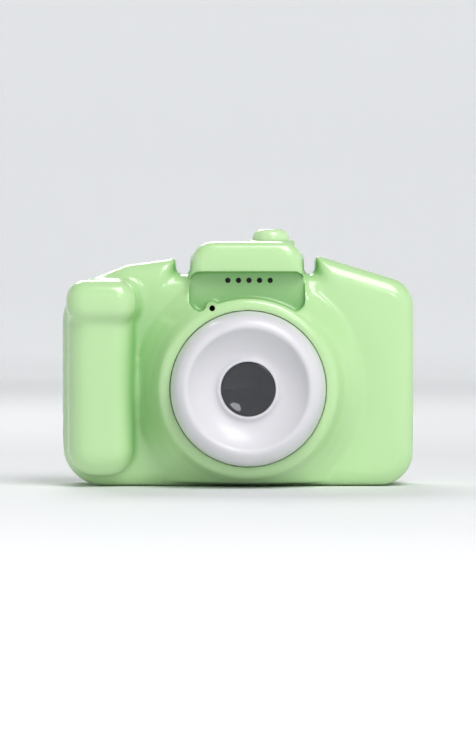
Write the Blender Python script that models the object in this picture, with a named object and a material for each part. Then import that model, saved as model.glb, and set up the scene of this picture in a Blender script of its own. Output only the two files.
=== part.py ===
"""A kids digital camera, built as separate pieces.

X runs to the right seen from the front, the lens points along -Y and Z is up.
The origin is on the table under the middle of the camera.
Sizes are written in millimetres, and each mesh is made in metres.
"""

import math

import bmesh
import bpy
from mathutils import Matrix, Vector

MM = 0.001

# Driving dimensions
WALL = 1.8
GAP = 0.3
PANEL_FRONT = -5.0
PARTING = 10.5
PANEL_BACK = 21.3
FRONT_FILLET = 4.0
BACK_FILLET = 3.5
LENS_X = 2.3
LENS_Z = 22.4
RING_RADIUS = 17.4
RING_CREST = -22.5
RIM_FRONT = -14.2
BARREL_FLOOR = -9.2
WINDOW_RADIUS = 6.1
CAP_FRONT = -8.5
CAP_BOTTOM = 48.8
CAP_TOP = 55.7
GRIP_CREST = -11.5
HEAD_STEP = 1.2
SHUTTER_X = 7.5
SHUTTER_Y = 4.5
SHUTTER_RADIUS = 4.2
SHUTTER_TOP = 58.5
KEY_X = -21.0
KEY_REACH = 22.2
KEY_SPREAD = 4.2
SCREEN = (-13.0, 32.5, 4.5, 42.5)
SCREEN_FACE = 21.5
SPEAKER_X = 2.5
SPEAKER_Z = 46.0
MIC_X = -5.8
MIC_Z = 40.5
SCREW_X = 35.9
SCREW_ROWS = (8.4, 39.2)
SCREW_BOSS = 2.9
BOARD_POSTS = ((-12.2, 43.2), (30.0, 42.5))
BOARD_Y = (11.2, 12.4)
PORT_X = (6.5, 33.5)
PORT_Y = (11.7, 16.9)
PORT_DEPTH = 1.2
STRAP_Y = 0.2
STRAP_Z = 11.5

# The body seen from the front: (x, z, radius) at each corner
BODY = (
    (-40.0, 0.0, 9.5), (40.0, 0.0, 8.0), (40.0, 45.8, 3.5), (28.0, 49.1, 9.0),
    (17.6, 53.2, 1.5), (16.4, 48.2, 0.8), (-12.2, 48.2, 0.8), (-14.2, 51.9, 1.5),
    (-25.5, 50.4, 8.0), (-40.0, 44.7, 7.0),
)
HOLLOW = (
    (-38.2, 1.8, 7.7), (38.2, 1.8, 6.2), (38.2, 44.0, 2.0), (28.0, 47.2, 7.0),
    (18.4, 50.4, 0.8), (17.4, 46.3, 0.8), (-13.3, 46.3, 0.8), (-14.9, 49.6, 0.8),
    (-25.5, 48.4, 6.0), (-38.2, 43.4, 5.4),
)
CAP = ((-11.6, 44.0, 0.2), (15.7, 44.0, 0.2), (14.7, CAP_TOP, 4.5), (-10.6, CAP_TOP, 4.5))
CAP_HOLLOW = ((-9.8, 44.0, 0.2), (13.9, 44.0, 0.2), (13.2, 53.9, 1.8), (-9.0, 53.9, 1.8))


# Outlines and meshes

def rectangle(left, right, low, high, radius=0.0):
    return ((left, low, radius), (right, low, radius), (right, high, radius), (left, high, radius))


def rounded(corners, inset=0.0, steps=4):
    """The outline as points, anticlockwise, with each corner an arc and every side moved in."""
    count = len(corners)
    points = []
    for index in range(count):
        before = Vector(corners[index - 1][:2])
        here = Vector(corners[index][:2])
        after = Vector(corners[(index + 1) % count][:2])
        arriving = (here - before).normalized()
        leaving = (after - here).normalized()
        turn = arriving.cross(leaving)
        inward = Vector((-arriving.y, arriving.x)) + Vector((-leaving.y, leaving.x))
        corner = here + inward * (inset / (1.0 + arriving.dot(leaving)))
        half = arriving.angle(leaving) / 2.0
        radius = corners[index][2] - math.copysign(inset, turn)
        if corners[index][2] == 0.0 or half < 1e-4:
            points.append(corner)
            continue
        radius = max(radius, 0.05)
        middle = corner + inward.normalized() * math.copysign(radius / math.cos(half), turn)
        start = corner - arriving * (radius * math.tan(half)) - middle
        for step in range(steps + 1):
            angle = math.copysign(2.0 * half * step / steps, turn)
            points.append(middle + Matrix.Rotation(angle, 2) @ start)
    return points


def mesh_of(rings, closed_ends=True):
    """A mesh through rings of the same number of points, in millimetres."""
    bm = bmesh.new()
    loops = [[bm.verts.new(Vector(point) * MM) for point in ring] for ring in rings]
    for first, second in zip(loops, loops[1:]):
        for index in range(len(first)):
            following = (index + 1) % len(first)
            bm.faces.new((first[index], first[following], second[following], second[index]))
    if closed_ends:
        bm.faces.new(loops[0])
        bm.faces.new(reversed(loops[-1]))
    else:
        for index in range(len(loops[0])):
            following = (index + 1) % len(loops[0])
            bm.faces.new((loops[-1][index], loops[-1][following], loops[0][following], loops[0][index]))
    bmesh.ops.remove_doubles(bm, verts=bm.verts, dist=1e-7)
    bmesh.ops.dissolve_degenerate(bm, edges=bm.edges, dist=1e-7)
    bmesh.ops.recalc_face_normals(bm, faces=bm.faces)
    return bm


def loft(corners, stations, axis="Y", steps=4):
    """The outline carried along an axis through (place, inset) stations."""
    rings = []
    for place, inset in stations:
        outline = rounded(corners, inset, steps)
        if axis == "Y":
            rings.append([(x, place, z) for x, z in outline])
        elif axis == "X":
            rings.append([(place, y, z) for y, z in outline])
        else:
            rings.append([(x, y, place) for x, y in outline])
    return mesh_of(rings)


def fillet(edge, flat, radius, steps=4):
    """(place, inset) stations from a flat end round to the full outline."""
    way = math.copysign(1.0, edge - flat)
    stations = []
    for step in range(steps + 1):
        angle = math.pi / 2.0 * step / steps
        place = edge - way * radius * (1.0 - math.cos(angle))
        stations.append((place, radius * (1.0 - math.sin(angle))))
    return stations


def turned(profile, sides=32, axis="Y"):
    """A closed profile of (radius, place) pairs turned about an axis through the origin."""
    rings = []
    for side in range(sides):
        angle = 2.0 * math.pi * side / sides
        across = math.cos(angle)
        along = math.sin(angle)
        if axis == "Y":
            rings.append([(radius * across, place, radius * along) for radius, place in profile])
        else:
            rings.append([(radius * across, radius * along, place) for radius, place in profile])
    return mesh_of(rings, closed_ends=False)


def cylinder(radius, start, end, sides=24, axis="Y"):
    """A plain round bar along an axis through the origin."""
    rings = []
    for place in (start, end):
        ring = []
        for side in range(sides):
            angle = 2.0 * math.pi * side / sides
            across = radius * math.cos(angle)
            along = radius * math.sin(angle)
            ring.append((across, place, along) if axis == "Y" else (across, along, place))
        rings.append(ring)
    return mesh_of(rings)


def strip(path, left, right, thickness):
    """A flat ribbon: a path of (y, z) points given a thickness and a width along X."""
    rings = []
    for index, point in enumerate(path):
        before = Vector(path[max(index - 1, 0)])
        after = Vector(path[min(index + 1, len(path) - 1)])
        way = (after - before).normalized()
        side = Vector((-way.y, way.x)) * (thickness / 2.0)
        low = Vector(point) - side
        high = Vector(point) + side
        rings.append([(left, *low), (right, *low), (right, *high), (left, *high)])
    return mesh_of(rings)


# Materials

def plastic(name, colour, roughness, metallic=0.0):
    material = bpy.data.materials.new(name)
    material.use_nodes = True
    shader = material.node_tree.nodes["Principled BSDF"]
    shader.inputs["Base Color"].default_value = (*colour, 1.0)
    shader.inputs["Roughness"].default_value = roughness
    shader.inputs["Metallic"].default_value = metallic
    material.diffuse_color = (*colour, 1.0)
    return material


def tinted(name, colour, roughness, transmission):
    material = plastic(name, colour, roughness)
    material.node_tree.nodes["Principled BSDF"].inputs["Transmission Weight"].default_value = transmission
    return material


# Objects

def piece(name, mesh, material, place=(0.0, 0.0, 0.0), smooth=True):
    """One named piece, with its own mesh and its own material, placed in millimetres."""
    data = bpy.data.meshes.new(name)
    mesh.to_mesh(data)
    mesh.free()
    if smooth:
        data.shade_smooth()
        data.set_sharp_from_angle(angle=math.radians(35.0))
    data.materials.append(material)
    made = bpy.data.objects.new(name, data)
    made.location = Vector(place) * MM
    bpy.context.scene.collection.objects.link(made)
    return made


def helper(name, mesh, place=(0.0, 0.0, 0.0)):
    """A shape used only to cut or to join, kept out of the render."""
    data = bpy.data.meshes.new(name)
    mesh.to_mesh(data)
    mesh.free()
    made = bpy.data.objects.new(name, data)
    made.location = Vector(place) * MM
    made.hide_render = True
    made.display_type = "WIRE"
    bpy.context.scene.collection.objects.link(made)
    return made


def combine(target, other, operation):
    modifier = target.modifiers.new(other.name, "BOOLEAN")
    modifier.operation = operation
    modifier.solver = "EXACT"
    modifier.object = other


def cut(target, name, mesh, place=(0.0, 0.0, 0.0)):
    combine(target, helper(name, mesh, place), "DIFFERENCE")


def join(target, name, mesh, place=(0.0, 0.0, 0.0)):
    combine(target, helper(name, mesh, place), "UNION")


def clear_scene():
    for item in list(bpy.data.objects):
        bpy.data.objects.remove(item, do_unlink=True)


# Housing

def screw_places():
    return [(side * SCREW_X, row) for row in SCREW_ROWS for side in (-1.0, 1.0)]


def add_grip(shell):
    """The finger grip: a rounded column with a fuller head above a soft ledge."""
    column = rectangle(-38.6, -24.4, 2.4, 45.0, 6.4)
    join(shell, "grip_column", loft(column, [(PARTING - 6.0, 0.6), *fillet_out(GRIP_CREST, 6.0)]))
    head = rectangle(-39.2, -23.4, 36.6, 47.0, 5.0)
    join(shell, "grip_head", loft(head, [(PARTING - 7.0, 0.8), *fillet_out(GRIP_CREST - HEAD_STEP, 4.6)]))


def fillet_out(front, radius):
    """Stations that run forward from the side of a column to its rounded front face."""
    return list(reversed(fillet(front, 0.0, radius)))


def add_barrel(shell):
    """The lens barrel: a flared cone whose lower edge stops above the table."""
    cone = turned_disc([(28.6, -3.4), (26.5, -5.0), (23.8, -7.0), (21.9, -9.4),
                        (20.5, -12.4), (20.0, -13.5), (19.3, RIM_FRONT)])
    barrel = helper("barrel_cone", cone, (LENS_X, 0.0, LENS_Z))
    cut(barrel, "barrel_foot", loft(rectangle(-45.0, 45.0, -20.0, 0.8), [(-30.0, 0.0), (5.0, 0.0)]))
    combine(shell, barrel, "UNION")


def turned_disc(profile, sides=40):
    """A solid disc or cone: (radius, place) pairs from back to front, closed by flat ends."""
    rings = []
    for radius, place in profile:
        ring = []
        for side in range(sides):
            angle = 2.0 * math.pi * side / sides
            ring.append((radius * math.cos(angle), place, radius * math.sin(angle)))
        rings.append(ring)
    return mesh_of(rings)


def hollow_front(shell):
    """Everything scooped out of the front half from behind."""
    cut(shell, "front_hollow", loft(HOLLOW, [(PANEL_FRONT + WALL, 1.6), (PANEL_FRONT + WALL + 1.6, 0.0),
                                             (PARTING + 3.0, 0.0)]))
    cut(shell, "cap_hollow", loft(CAP_HOLLOW, [(PANEL_FRONT + WALL, 0.0), (PARTING + 3.0, 0.0)]))
    grip = rectangle(-36.8, -26.2, 4.6, 44.6, 4.6)
    cut(shell, "grip_hollow", loft(grip, [(PANEL_FRONT + 4.0, 0.0), *fillet_out(GRIP_CREST + WALL, 4.2)]))
    cone = helper("barrel_hollow", turned_disc([(24.6, -2.0), (24.6, -4.8), (21.8, -7.4)]),
                  (LENS_X, 0.0, LENS_Z))
    cut(cone, "barrel_hollow_top", loft(rectangle(-45.0, 45.0, 40.2, 60.0), [(-30.0, 0.0), (5.0, 0.0)]))
    cut(cone, "barrel_hollow_foot", loft(rectangle(-45.0, 45.0, -20.0, 2.6), [(-30.0, 0.0), (5.0, 0.0)]))
    combine(shell, cone, "DIFFERENCE")


def add_front_bosses(shell):
    for index, (x, z) in enumerate(screw_places()):
        join(shell, f"screw_boss_{index}", cylinder(SCREW_BOSS, 3.2, PARTING - GAP / 2.0, 16), (x, 0.0, z))
        cut(shell, f"screw_pilot_{index}", cylinder(1.3, 4.4, PARTING + 2.0, 12), (x, 0.0, z))
    for index, (x, z) in enumerate(BOARD_POSTS):
        join(shell, f"board_post_{index}", cylinder(1.9, PANEL_FRONT + 0.9, BOARD_Y[0] - GAP, 12), (x, 0.0, z))
        cut(shell, f"board_pilot_{index}", cylinder(1.0, 4.0, BOARD_Y[0] + 1.0, 10), (x, 0.0, z))


def add_strap_eyelets(shell):
    """An oval pocket low on each side, with a moulded bar across it for a strap."""
    inner = rectangle(STRAP_Y - 2.4, STRAP_Y + 2.4, STRAP_Z - 4.6, STRAP_Z + 4.6, 2.3)
    for name, side in (("left", -1.0), ("right", 1.0)):
        cup = loft(inner, [(side * 34.2, -1.2), (side * 38.6, -1.2)], axis="X", steps=3)
        join(shell, f"strap_cup_{name}", cup)
        pocket = loft(inner, [(side * 35.6, 0.0), (side * 42.0, 0.0)], axis="X", steps=3)
        cut(shell, f"strap_pocket_{name}", pocket)
        bar = rectangle(side * 38.3 - 0.9, side * 38.3 + 0.9, STRAP_Z - 0.9, STRAP_Z + 0.9, 0.4)
        join(shell, f"strap_bar_{name}", loft(bar, [(STRAP_Y - 3.4, 0.0), (STRAP_Y + 3.4, 0.0)], steps=2))


def cut_front_holes(shell):
    cut(shell, "ring_seat", cylinder(RING_RADIUS + GAP, RING_CREST - 5.0, BARREL_FLOOR, 40),
        (LENS_X, 0.0, LENS_Z))
    cut(shell, "lens_hole", cylinder(7.2, RING_CREST, 0.0, 24), (LENS_X, 0.0, LENS_Z))
    cut(shell, "speaker_recess", loft(rectangle(-11.0, 15.2, 42.0, CAP_BOTTOM, 2.6),
                                      [(RING_CREST - 2.0, 0.0), (PANEL_FRONT + 0.3, 0.0)]))
    for index in range(5):
        cut(shell, f"speaker_hole_{index}", cylinder(0.6, -8.0, 1.0, 8),
            (SPEAKER_X + 2.4 * (index - 2), 0.0, SPEAKER_Z + 0.8))
    join(shell, "microphone_tube", cylinder(1.5, -8.6, -3.4, 10), (MIC_X, 0.0, MIC_Z))
    cut(shell, "microphone_hole", cylinder(0.65, -18.0, -1.0, 8), (MIC_X, 0.0, MIC_Z))
    cut(shell, "shutter_hole", cylinder(SHUTTER_RADIUS + GAP, 50.0, 60.0, 28, axis="Z"),
        (SHUTTER_X, SHUTTER_Y, 0.0))


def make_front_shell(material):
    front = PARTING - 0.2
    body = loft(BODY, [(front, 0.0), *fillet_out(PANEL_FRONT, FRONT_FILLET)])
    shell = piece("front_shell", body, material)
    cap = loft(CAP, [(front, 0.0), *fillet_out(CAP_FRONT, 2.6)])
    join(shell, "cap_front", cap)
    add_grip(shell)
    add_barrel(shell)
    hollow_front(shell)
    add_front_bosses(shell)
    add_strap_eyelets(shell)
    cut_front_holes(shell)
    return shell


def make_rear_shell(material, keys):
    back = PARTING + 0.2
    stations = [(back, 0.0), *reversed(fillet(PANEL_BACK, 0.0, BACK_FILLET))]
    shell = piece("rear_shell", loft(BODY, stations), material)
    join(shell, "cap_rear", loft(CAP, [(back, 0.0), *reversed(fillet(PANEL_BACK, 0.0, 2.6))]))
    join(shell, "eyepiece_surround", loft(rectangle(-2.2, 10.2, 43.9, 53.6, 3.2),
                                          [(PANEL_BACK - 1.0, 0.0), (22.1, 0.0), (22.5, 0.4)]))
    inside = PANEL_BACK - WALL
    cut(shell, "rear_hollow", loft(HOLLOW, [(back - 3.0, 0.0), (inside - 1.4, 0.0), (inside, 1.4)]))
    cut(shell, "cap_rear_hollow", loft(CAP_HOLLOW, [(back - 3.0, 0.0), (inside, 0.0)]))
    for index, (x, z) in enumerate(screw_places()):
        join(shell, f"rear_boss_{index}", cylinder(SCREW_BOSS, back, inside + 0.6, 16), (x, 0.0, z))
        cut(shell, f"rear_clearance_{index}", cylinder(1.3, back - 2.0, 20.0, 12), (x, 0.0, z))
        cut(shell, f"rear_counterbore_{index}", cylinder(2.1, 16.5, 24.0, 16), (x, 0.0, z))
    left, right, low, high = SCREEN
    cut(shell, "screen_recess", loft(rectangle(left - GAP, right + GAP, low - GAP, high + GAP, 4.3),
                                     [(20.2, 0.0), (24.0, 0.0)]))
    cut(shell, "screen_opening", loft(rectangle(left + 1.8, right - 1.8, low + 3.0, high - 3.0, 1.5),
                                      [(15.0, 0.0), (24.0, 0.0)]))
    cut(shell, "viewfinder_recess", loft(rectangle(-0.6, 8.6, 44.9, 52.6, 2.0), [(21.0, 0.0), (24.0, 0.0)]))
    for name, (x, z, radius) in keys.items():
        cut(shell, f"{name}_hole", cylinder(radius + GAP, 15.0, 24.0, 16), (x, 0.0, z))
    cut_ports(shell)
    return shell


def cut_ports(shell):
    """The shallow recess under the camera, and the two slots above it."""
    cut(shell, "port_recess", loft(rectangle(*PORT_X, *PORT_Y, 1.2), [(-2.0, 0.0), (PORT_DEPTH, 0.0)], axis="Z"))
    cut(shell, "usb_slot", loft(rectangle(8.6, 17.0, 12.4, 15.6, 1.2), [(0.5, 0.0), (3.0, 0.0)], axis="Z"))
    cut(shell, "card_way", loft(rectangle(19.4, 31.6, 12.8, 14.5, 0.3), [(0.5, 0.0), (3.0, 0.0)], axis="Z"))


# Lens

def make_lens_ring(material):
    profile = [
        (6.4, -18.9), (6.8, -19.0), (7.5, -18.5), (10.4, -19.5), (12.8, -21.5), (13.9, RING_CREST),
        (14.6, -22.4), (15.8, -21.6), (16.7, -19.8), (17.2, -17.0), (RING_RADIUS, -14.0),
        (RING_RADIUS, BARREL_FLOOR - GAP), (15.8, BARREL_FLOOR - GAP), (15.6, -17.0), (14.5, -20.2),
        (13.6, -20.5), (11.4, -18.4), (8.4, -16.9), (7.6, -16.4), (6.4, -16.4),
    ]
    return piece("lens_ring", turned(profile, 40), material, (LENS_X, 0.0, LENS_Z))


def make_lens(clear, black, dark_metal, board, chip):
    axis = (LENS_X, 0.0, LENS_Z)
    window = [(WINDOW_RADIUS - 0.3, -17.5), (WINDOW_RADIUS, -17.8), (WINDOW_RADIUS, -18.4), (5.6, -18.7)]
    piece("lens_window", turned_disc(window, 28), clear, axis)
    mask = [(2.6, -16.6), (2.6, -17.2), (WINDOW_RADIUS, -17.2), (WINDOW_RADIUS, -16.6)]
    piece("lens_mask", turned(mask, 24), black, axis)
    barrel = [(4.2, -3.6), (4.2, -16.2), (6.6, -16.2), (6.6, -12.4), (6.0, -12.0), (6.0, -3.6)]
    piece("lens_barrel", turned(barrel, 24), dark_metal, axis)
    glass = [(3.8, -12.6), (3.8, -14.2), (2.6, -14.8), (1.3, -15.1)]
    piece("lens_glass", turned_disc(glass, 20), clear, axis)
    holder = piece("lens_holder", loft(rectangle(-7.5, 7.5, -7.5, 7.5, 1.5), [(-6.9, 0.0), (-1.5, 0.0)], steps=2),
                   black, axis)
    cut(holder, "holder_bore", cylinder(6.3, -9.0, 1.0, 24), axis)
    piece("sensor_board", loft(rectangle(-11.0, 11.0, -10.0, 10.0), [(-1.2, 0.0), (0.0, 0.0)]), board, axis)
    piece("image_sensor", loft(rectangle(-3.0, 3.0, -2.6, 2.6), [(-2.5, 0.0), (-1.5, 0.0)]), chip, axis)


# Sound

def make_sound(black, steel, rubber, wire):
    speaker = [(6.5, 0.1), (6.5, -2.0), (6.0, -2.6), (3.4, -2.9), (1.6, -2.6)]
    piece("speaker", turned_disc(speaker, 24), black, (SPEAKER_X, 0.0, SPEAKER_Z))
    piece("microphone", cylinder(1.7, -2.7, -1.1, 14), steel, (MIC_X, 0.0, MIC_Z))
    boot = [(2.0, -3.0), (2.6, -3.0), (2.6, -0.5), (1.2, -0.5), (1.2, -0.8), (2.0, -0.8)]
    piece("microphone_boot", turned(boot, 16), rubber, (MIC_X, 0.0, MIC_Z))
    lead("speaker_lead", [(-1.0, 0.9, 45.0), (-3.2, 2.4, 45.2), (-4.6, 5.4, 44.6), (-4.4, 8.4, 42.8),
                          (-3.6, 10.4, 40.6)], 0.5, wire)


def lead(name, route, radius, material):
    """A short wire that follows a smooth curve through the route's points."""
    curve = bpy.data.curves.new(name, "CURVE")
    curve.dimensions = "3D"
    curve.bevel_depth = radius * MM
    curve.bevel_resolution = 2
    curve.use_fill_caps = True
    points = smooth_route(route, 4)
    spline = curve.splines.new("POLY")
    spline.points.add(len(points) - 1)
    for place, point in zip(spline.points, points):
        place.co = (*(point * MM), 1.0)
    curve.materials.append(material)
    made = bpy.data.objects.new(name, curve)
    bpy.context.scene.collection.objects.link(made)
    return made


def smooth_route(route, steps):
    """Points on a Catmull-Rom curve through the route."""
    places = [Vector(point) for point in route]
    places = [places[0] * 2.0 - places[1], *places, places[-1] * 2.0 - places[-2]]
    points = []
    for index in range(1, len(places) - 2):
        a, b, c, d = places[index - 1:index + 3]
        for step in range(steps):
            t = step / steps
            points.append(b + (c - a) * (t / 2.0) + (a * 2.0 - b * 5.0 + c * 4.0 - d) * (t * t / 2.0)
                          + (b * 3.0 - a - c * 3.0 + d) * (t * t * t / 2.0))
    points.append(places[-2])
    return points


# Electronics

def make_main_board(board, chip, steel, black, card):
    plate = piece("main_board", loft(rectangle(-14.2, 32.5, 4.0, 45.2, 1.0),
                                     [(BOARD_Y[0], 0.0), (BOARD_Y[1], 0.0)], steps=2), board)
    for index, (x, z) in enumerate(BOARD_POSTS):
        cut(plate, f"board_hole_{index}", cylinder(1.2, 10.0, 14.0, 10), (x, 0.0, z))
    piece("processor_chip", loft(rectangle(-1.0, 9.0, 20.0, 30.0), [(9.9, 0.0), (10.9, 0.0)]), chip)
    piece("memory_chip", loft(rectangle(13.0, 21.0, 22.0, 28.0), [(9.9, 0.0), (10.9, 0.0)]), chip)
    socket = piece("usb_socket", loft(rectangle(9.0, 16.6, 12.7, 15.3, 1.0), [(2.2, 0.0), (7.4, 0.0)], axis="Z",
                                      steps=2), steel)
    cut(socket, "usb_mouth", loft(rectangle(9.5, 16.1, 13.2, 14.8, 0.6), [(1.0, 0.0), (6.8, 0.0)], axis="Z", steps=2))
    slot = piece("card_slot", loft(rectangle(18.8, 32.2, 12.7, 14.7), [(3.0, 0.0), (18.2, 0.0)], axis="Z"), steel)
    cut(slot, "card_mouth", loft(rectangle(19.6, 31.4, 12.95, 14.35), [(1.0, 0.0), (17.6, 0.0)], axis="Z"))
    piece("memory_card", loft(rectangle(20.0, 31.0, 13.25, 14.05), [(1.6, 0.0), (16.6, 0.0)], axis="Z"), card)


def make_display(panel, frame, ribbon, black_glass):
    left, right, low, high = SCREEN
    piece("lcd_panel", loft(rectangle(left + 0.8, right - 0.8, low + 1.1, high - 1.1, 0.4),
                            [(16.4, 0.0), (18.8, 0.0)], steps=2), panel)
    surround = piece("lcd_frame", loft(rectangle(left - 0.4, right + 0.4, low - 0.1, high + 0.1, 0.6),
                                       [(15.6, 0.0), (19.2, 0.0)], steps=2), frame)
    cut(surround, "lcd_well", loft(rectangle(left + 0.5, right - 0.5, low + 0.8, high - 0.8, 0.3),
                                   [(14.0, 0.0), (20.0, 0.0)], steps=2))
    bend = [(14.42 + 1.67 * math.cos(angle), 8.0 + 1.67 * math.sin(angle))
            for angle in [-math.pi * step / 6.0 for step in range(7)]]
    piece("lcd_ribbon", strip([(16.09, 12.0), *bend, (12.75, 12.0)], -8.0, 4.0, 0.2), ribbon)
    piece("screen_window", loft(rectangle(left, right, low, high, 4.0),
                                [(20.5, 0.0), (21.2, 0.0), (SCREEN_FACE, 0.3)]), black_glass)
    piece("viewfinder_window", loft(rectangle(-0.3, 8.3, 45.2, 52.3, 1.7), [(21.3, 0.0), (21.9, 0.0), (22.1, 0.3)]),
          black_glass)
    run = [(0.3, 14.6), (2.0, 13.6), (4.6, 13.0), (7.4, 13.4), (9.4, 15.0), (10.6, 17.6)]
    piece("sensor_ribbon", strip(run, -1.7, 6.3, 0.2), ribbon)


def make_power(foil, wire, tape):
    piece("battery", loft(rectangle(13.8, 33.8, 10.0, 38.0, 1.4), [(-2.2, 0.0), (3.8, 0.0)], steps=2), foil)
    piece("battery_tape", loft(rectangle(28.6, 33.4, 12.0, 36.0), [(-2.9, 0.0), (-2.5, 0.0)]), tape)
    lead("battery_lead", [(24.0, 0.8, 38.4), (23.4, 1.6, 40.6), (21.6, 4.6, 42.0), (20.4, 8.0, 41.6),
                          (20.0, 10.4, 39.4)], 0.6, wire)


# Buttons

def make_shutter(cap_material, black, board, steel, ribbon):
    place = (SHUTTER_X, SHUTTER_Y, 0.0)
    profile = [
        (0.0, 52.6), (1.6, 52.6), (1.6, 52.9), (4.7, 52.9), (4.7, 53.5), (SHUTTER_RADIUS, 53.5),
        (SHUTTER_RADIUS, 57.4), (4.0, 58.1), (3.3, SHUTTER_TOP), (2.0, 58.3), (0.0, 58.0),
    ]
    piece("shutter_button", turned_closed(profile, 28, "Z"), cap_material, place)
    piece("shutter_plunger", cylinder(1.3, 50.4, 52.3, 12, axis="Z"), black, place)
    body = piece("shutter_switch", loft(rectangle(-3.0, 3.0, -3.0, 3.0), [(49.1, 0.0), (51.7, 0.0)], axis="Z"),
                 steel, place)
    cut(body, "shutter_pocket", cylinder(1.6, 49.5, 53.0, 12, axis="Z"), place)
    piece("shutter_board", loft(rectangle(-6.6, 4.8, -3.3, 3.4), [(47.7, 0.0), (48.8, 0.0)], axis="Z"), board, place)
    run = [(5.6, 47.4), (7.4, 47.2), (9.0, 46.0), (10.2, 44.0), (10.75, 41.4)]
    piece("shutter_ribbon", strip(run, 6.0, 10.0, 0.2), ribbon)


def turned_closed(profile, sides, axis):
    """A turned solid whose profile starts and ends on the axis."""
    bm = turned([(max(radius, 1e-6), place) for radius, place in profile], sides, axis)
    bmesh.ops.remove_doubles(bm, verts=bm.verts, dist=1e-8)
    return bm


def key_places():
    """(x, z, radius) of each button on the back, named as someone facing the screen sees them."""
    return {
        "mode": (KEY_X, 38.0, 2.5),
        "up": (KEY_X, 26.0, 2.2),
        "left": (KEY_X + KEY_SPREAD, 17.2, 1.9),
        "right": (KEY_X - KEY_SPREAD, 17.2, 1.9),
        "down": (KEY_X, 8.4, 2.2),
    }


def make_key(name, x, z, radius, cap_material, black, steel):
    place = (x, 0.0, z)
    profile = [
        (0.0, KEY_REACH), (radius - 0.6, KEY_REACH), (radius, KEY_REACH - 0.5), (radius, 19.2),
        (radius + 0.5, 19.2), (radius + 0.5, 18.5), (1.2, 18.5), (1.2, 18.1), (0.0, 18.1),
    ]
    piece(f"{name}_button", turned_closed(profile, 16, "Y"), cap_material, place)
    piece(f"{name}_plunger", cylinder(1.1, 16.7, 17.8, 10), black, place)
    body = piece(f"{name}_switch", loft(rectangle(-1.9, 1.9, -1.9, 1.9), [(15.7, 0.0), (17.2, 0.0)]), steel, place)
    cut(body, f"{name}_pocket", cylinder(1.4, 16.0, 18.0, 10), place)


def make_key_board(board, ribbon):
    piece("key_board", loft(rectangle(-29.0, -14.7, 4.6, 42.0, 0.8), [(14.2, 0.0), (15.4, 0.0)], steps=2), board)
    run = [(13.9, 32.0), (13.3, 33.2), (12.75, 34.6)]
    piece("key_ribbon", strip(run, -18.0, -12.0, 0.2), ribbon)


# Fasteners and the port cover

def make_screw(name, x, z, head, tip, steel):
    profile = [(0.0, head + 0.9), (1.2, head + 0.9), (1.8, head + 0.3), (1.8, head), (1.0, head), (1.0, tip + 1.0),
               (0.4, tip), (0.0, tip)]
    return piece(name, turned_closed(profile, 12, "Y"), steel, (x, 0.0, z))


def make_screws(steel):
    for index, (x, z) in enumerate(screw_places()):
        make_screw(f"housing_screw_{index + 1}", x, z, 16.8, 5.4, steel)
    for index, (x, z) in enumerate(BOARD_POSTS):
        make_board_screw(f"board_screw_{index + 1}", x, z, steel)


def make_board_screw(name, x, z, steel):
    profile = [(0.0, 13.6), (1.2, 13.6), (1.6, 13.3), (1.6, 12.7), (0.7, 12.7), (0.7, 5.4), (0.3, 4.6), (0.0, 4.6)]
    return piece(name, turned_closed(profile, 12, "Y"), steel, (x, 0.0, z))


def make_port_cover(rubber):
    """The soft flap under the camera, with its origin on the hinge at its left end."""
    hinge_x = PORT_X[0] + 0.8
    hinge_z = 0.5
    width = PORT_X[1] - PORT_X[0] - 2.0 * GAP
    left = PORT_X[0] + GAP - hinge_x
    depth = (PORT_Y[1] - PORT_Y[0]) / 2.0 - GAP
    plate = loft(rectangle(left, left + width, -depth, depth, 0.9), [(-0.4, 0.2), (-0.2, 0.0), (0.4, 0.0)], axis="Z",
                 steps=3)
    middle = (PORT_Y[0] + PORT_Y[1]) / 2.0
    return piece("port_cover", plate, rubber, (hinge_x, middle, hinge_z))


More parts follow.
